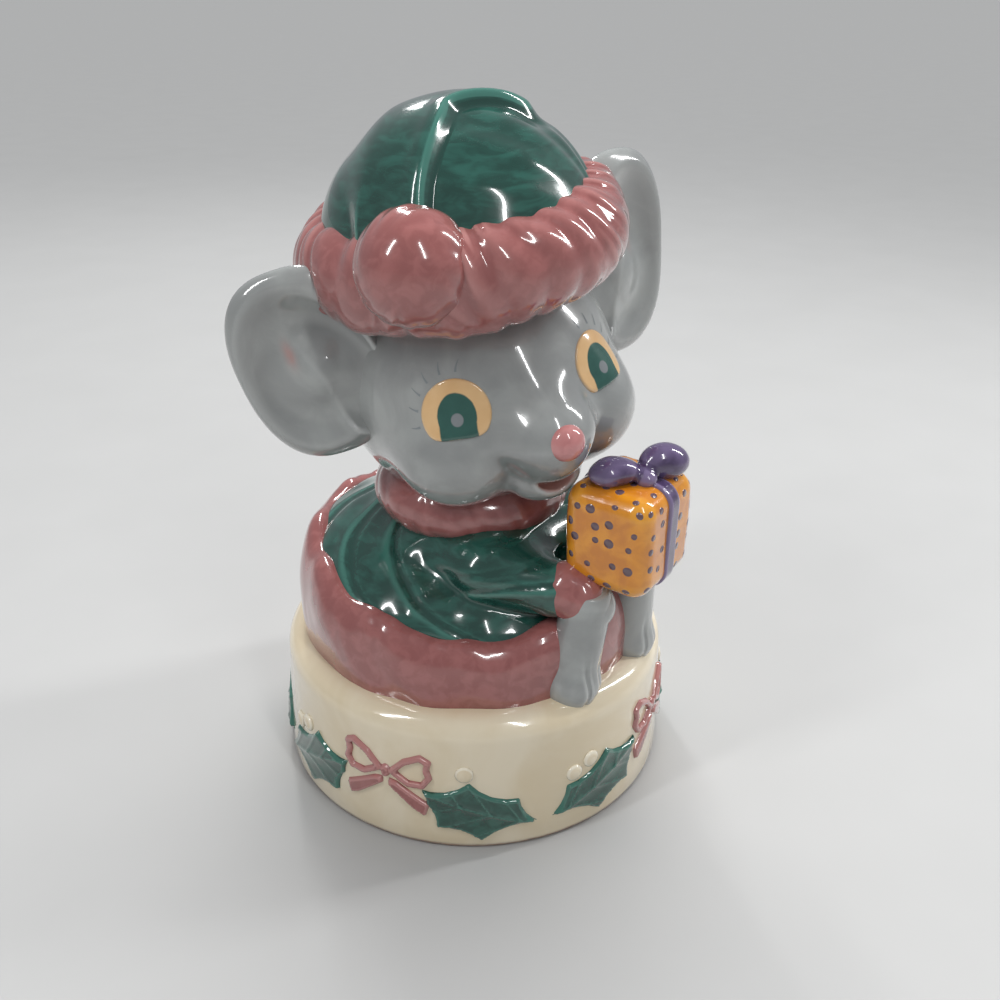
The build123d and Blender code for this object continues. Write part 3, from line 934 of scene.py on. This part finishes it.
def pompom_field(p):
    """Fur ball with a soft swirl."""
    q = to_head(p) - pompom_place
    reach = np.linalg.norm(q, axis=1)
    outward = np.array([-0.62, -0.72, 0.3])
    polar = np.arccos(np.clip(q @ (outward / np.linalg.norm(outward)) / np.maximum(reach, 0.1), -1, 1))
    spin = np.arctan2(q[:, 2], q[:, 0] - q[:, 1])
    locks = strands(11 * spin + 8 * polar + wander(p, 9, 71) * 2)
    return reach - pompom_radius - 0.35 * (locks - 0.5) * ease(polar, 0.5, 1.3) - 0.25 * wander(p, 9, 72)


# Gift
gift_turn = rotation("Z", gift_turn_angle)


def to_gift(p):
    """Places in the gift's frame."""
    return (p - gift_centre) @ gift_turn


def gift_field(p):
    """Soft-edged box with faint lumps."""
    q = to_gift(p)
    return rounded_box(q, gift_half, gift_round) + 0.12 * wander(p, 8, 81)


def ribbon_field(p):
    """One band from front to back over the box."""
    q = to_gift(p)
    band = rounded_box(q, gift_half, gift_round) - ribbon_relief
    return -join(-band, ribbon_half_width - np.abs(q[:, 0]), 0.6)


def gift_bow_field(p):
    """Two plump teardrop lobes that rise from a knot."""
    q = (to_gift(p) - [0, -1.5, gift_half[2]]) @ rotation("Z", gift_bow_angle) * [1, 1, 1.2]
    total = egg(q, (0.5, -1.6, 1.2), (2.6, 3.4, 2.6))
    for side, rise, height in ((-1, 2.6, 3.7), (1, 3.4, 4.8)):
        lobe = egg(q, (side * 5.7, 0, rise), (5.6, 4.1, height))
        hollow = bump(side * q[:, 0] - 4.6, 2.2) * bump(q[:, 1] + 4, 1.6)
        total = join(total, lobe + 0.5 * hollow, 0.8)
    return 0.85 * total + 0.15 * wander(p, 5, 85)


def build_dots():
    """Flat brush dabs on a shaken grid of each face of the box."""
    dice = np.random.default_rng(9)
    ring = np.linspace(0, 2 * np.pi, 14, endpoint=False)
    points, faces = [], []
    for axis in range(3):
        for side in (-1, 1):
            first, second = [k for k in range(3) if k != axis]
            counts = [int(2 * gift_half[k] / dot_spacing) for k in (first, second)]
            for row, column in np.ndindex(*counts):
                place = np.zeros(3)
                for k, index, count in ((first, row, counts[0]), (second, column, counts[1])):
                    shake = dice.uniform(-0.26, 0.26)
                    place[k] = ((index + 0.5 + shake) / count - 0.5) * 2 * (gift_half[k] - 0.6)
                place[axis] = side * gift_half[axis]
                radius = dot_radius * dice.uniform(0.75, 1.2)
                if abs(place[0]) < ribbon_half_width + radius and axis != 0:
                    continue
                start = len(points)
                for reach, rise in ((1.0, -0.05), (0.9, 0.03), (0.0, 0.03)):
                    for turn in ring if reach else [0]:
                        spot = place.copy()
                        spot[first] += reach * radius * cos(turn) * 1.05
                        spot[second] += reach * radius * sin(turn)
                        points.append((spot, rise))
                count = len(ring)
                for k in range(count):
                    after = (k + 1) % count
                    faces.append([start + k, start + after, start + count + after, start + count + k])
                    faces.append([start + count + k, start + count + after, start + 2 * count])
    spots = gift_centre + np.array([spot for spot, _ in points]) @ gift_turn.T
    rises = np.array([rise for _, rise in points])
    spots = settle(gift_field, spots, 2.0, 4)
    normal = slope(gift_field, spots)[1]
    spots += rises[:, None] * normal / np.linalg.norm(normal, axis=1)[:, None]
    mesh_faces = np.empty(len(faces), object)
    mesh_faces[:] = faces
    return dress("gift_dots", spots, mesh_faces, dot_paint)


def build_lashes(side_name, side):
    """Fine painted lashes above and outside an eye."""
    place, axes = eye_frame(side)
    points, faces = [], []
    for turn in np.arange(-12, 104, 22):
        heading = np.array([cos(radians(turn)), sin(radians(turn)), 0])
        sideways = np.array([-heading[1], heading[0], 0])
        for share in np.linspace(0, 1, 6):
            reach = 8.2 + 2.4 * share
            width = 0.24 * (1 - 0.75 * share)
            for edge in (-1, 1):
                points.append(place + axes @ (heading * reach + sideways * (edge * width + 0.6 * share**2)))
        start = len(points) - 12
        faces += [[start + k, start + k + 1, start + k + 3, start + k + 2] for k in range(0, 10, 2)]
    spots = settle(head_field, np.array(points), 2.0, 5)
    normal = slope(head_field, spots)[1]
    spots += 0.06 * normal / np.linalg.norm(normal, axis=1)[:, None]
    return dress(f"{side_name}_lashes", spots, np.array(faces), lash_paint)


# Build every piece
build_drum()
sculpt("holly_leaves", leaf_field, 0.5, leaf_green, 1.5)
sculpt("base_bows", bow_field, 0.45, pink, 2.5)
sculpt("holly_berries", berry_field, 0.45, berry_cream, 1.5)
sculpt("coat", coat_field, 0.8, green)
sculpt("coat_hem", hem_field, 0.6, pink)
sculpt("collar", collar_field, 0.5, pink, 9.0)
sculpt("head", head_field, 0.7, face_grey, 3.0, {"mouth": lambda p: ease(mouth_distance(to_head(p)), 0.5, -0.3)})
sculpt("nose", nose_field, 0.35, nose_pink)
sculpt("hat_crown", crown_field, 0.6, green)
sculpt("hat_trim", trim_field, 0.5, pink)
sculpt("pompom", pompom_field, 0.5, pink, 4.0)
sculpt("gift_box", gift_field, 0.5, orange, 5.0)
sculpt("gift_ribbon", ribbon_field, 0.35, purple, 5.0)
sculpt("gift_bow", gift_bow_field, 0.35, purple, 7.0)
build_dots()
for side_name, side in SIDES.items():
    sculpt(f"{side_name}_sleeve", sleeve_field(side), 0.6, green, 9.0)
    sculpt(f"{side_name}_cuff", cuff_field(side), 0.5, pink, 5.0)
    sculpt(f"{side_name}_foot", foreleg_field(side), 0.5, grey, 6.0)
    sculpt(f"{side_name}_paw", paw_field(side), 0.5, grey, 2.0)
    sculpt(f"{side_name}_ear", ear_field(side), 0.6, ear_grey, 4.0, {"smear": ear_smear(side)})
    build_eye(side_name, side)
    build_lashes(side_name, side)


# Stage
def build_floor():
    """A plain pale floor under the figurine."""
    bpy.ops.mesh.primitive_plane_add(size=800)
    floor = bpy.context.active_object
    floor.name = "floor"
    glaze = Glaze("floor_paper")
    glaze.shader.inputs["Coat Weight"].default_value = 0.0
    glaze.shader.inputs["Roughness"].default_value = 0.7
    floor.data.materials.append(glaze.finish(glaze.mix(glaze.noise(40), (0.43, 0.43, 0.425), (0.46, 0.46, 0.455)), depth=0.02))
    floor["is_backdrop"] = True


def add_daylight(place, power, spread_angle):
    """Soft daylight from one side of the sky, too even to be mirrored in the glaze."""
    lamp = bpy.data.lights.new("daylight", "SUN")
    lamp.energy = power
    lamp.angle = radians(spread_angle)
    light = bpy.data.objects.new("daylight", lamp)
    light.rotation_euler = Vector(place).to_track_quat("Z", "Y").to_euler()
    light.visible_glossy = False
    bpy.context.scene.collection.objects.link(light)


def add_light(name, place, aim, size, power):
    """A soft rectangular light that looks at a point."""
    lamp = bpy.data.lights.new(name, "AREA")
    lamp.shape = "RECTANGLE"
    lamp.size, lamp.size_y = (length * MM for length in size)
    lamp.energy = power
    light = bpy.data.objects.new(name, lamp)
    place, aim = Vector(place) * MM, Vector(aim) * MM
    light.location = place
    light.rotation_euler = (aim - place).to_track_quat("-Z", "Y").to_euler()
    bpy.context.scene.collection.objects.link(light)


camera_place = (-162.5, -136.4, 171.2)
camera_heading = 38.4
camera_pitch = -26.9
camera_roll = 0.6


def add_camera():
    """The camera where the photograph was taken from."""
    lens = bpy.data.cameras.new("camera")
    lens.lens = lens.sensor_width = 36
    lens.clip_end = 1000
    camera = bpy.data.objects.new("camera", lens)
    heading, pitch = radians(camera_heading), radians(camera_pitch)
    forward = Vector((cos(pitch) * cos(heading), cos(pitch) * sin(heading), sin(pitch)))
    right = forward.cross(Vector((0, 0, 1))).normalized()
    turn = Matrix((right, right.cross(forward), -forward)).transposed()
    turn = Matrix.Rotation(radians(-camera_roll), 3, forward) @ turn
    camera.matrix_world = Matrix.Translation(Vector(camera_place) * MM) @ turn.to_4x4()
    bpy.context.scene.collection.objects.link(camera)
    bpy.context.scene.camera = camera


build_floor()
add_camera()
figure_middle = (0, 0, 80)
add_daylight((300, 160, 600), 2.5, 50)
add_light("left_lamp", (-420, 120, 520), figure_middle, (40, 300), 1.0)
add_light("front_lamp", (-160, -420, 560), figure_middle, (30, 320), 0.8)
add_light("right_lamp", (380, -260, 420), figure_middle, (30, 300), 1.2)
add_light("back_lamp", (300, 420, 560), figure_middle, (40, 360), 1.2)
world = bpy.data.worlds.new("studio")
world.use_nodes = True
world.node_tree.nodes["Background"].inputs["Color"].default_value = (0.9, 0.93, 0.97, 1)
world.node_tree.nodes["Background"].inputs["Strength"].default_value = 0.34
bpy.context.scene.world = world
bpy.context.scene.view_settings.view_transform = "Standard"

boxes = {"cad": cad_box, "visual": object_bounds()}
{name: [list(corner) for corner in box] for name, box in boxes.items()}
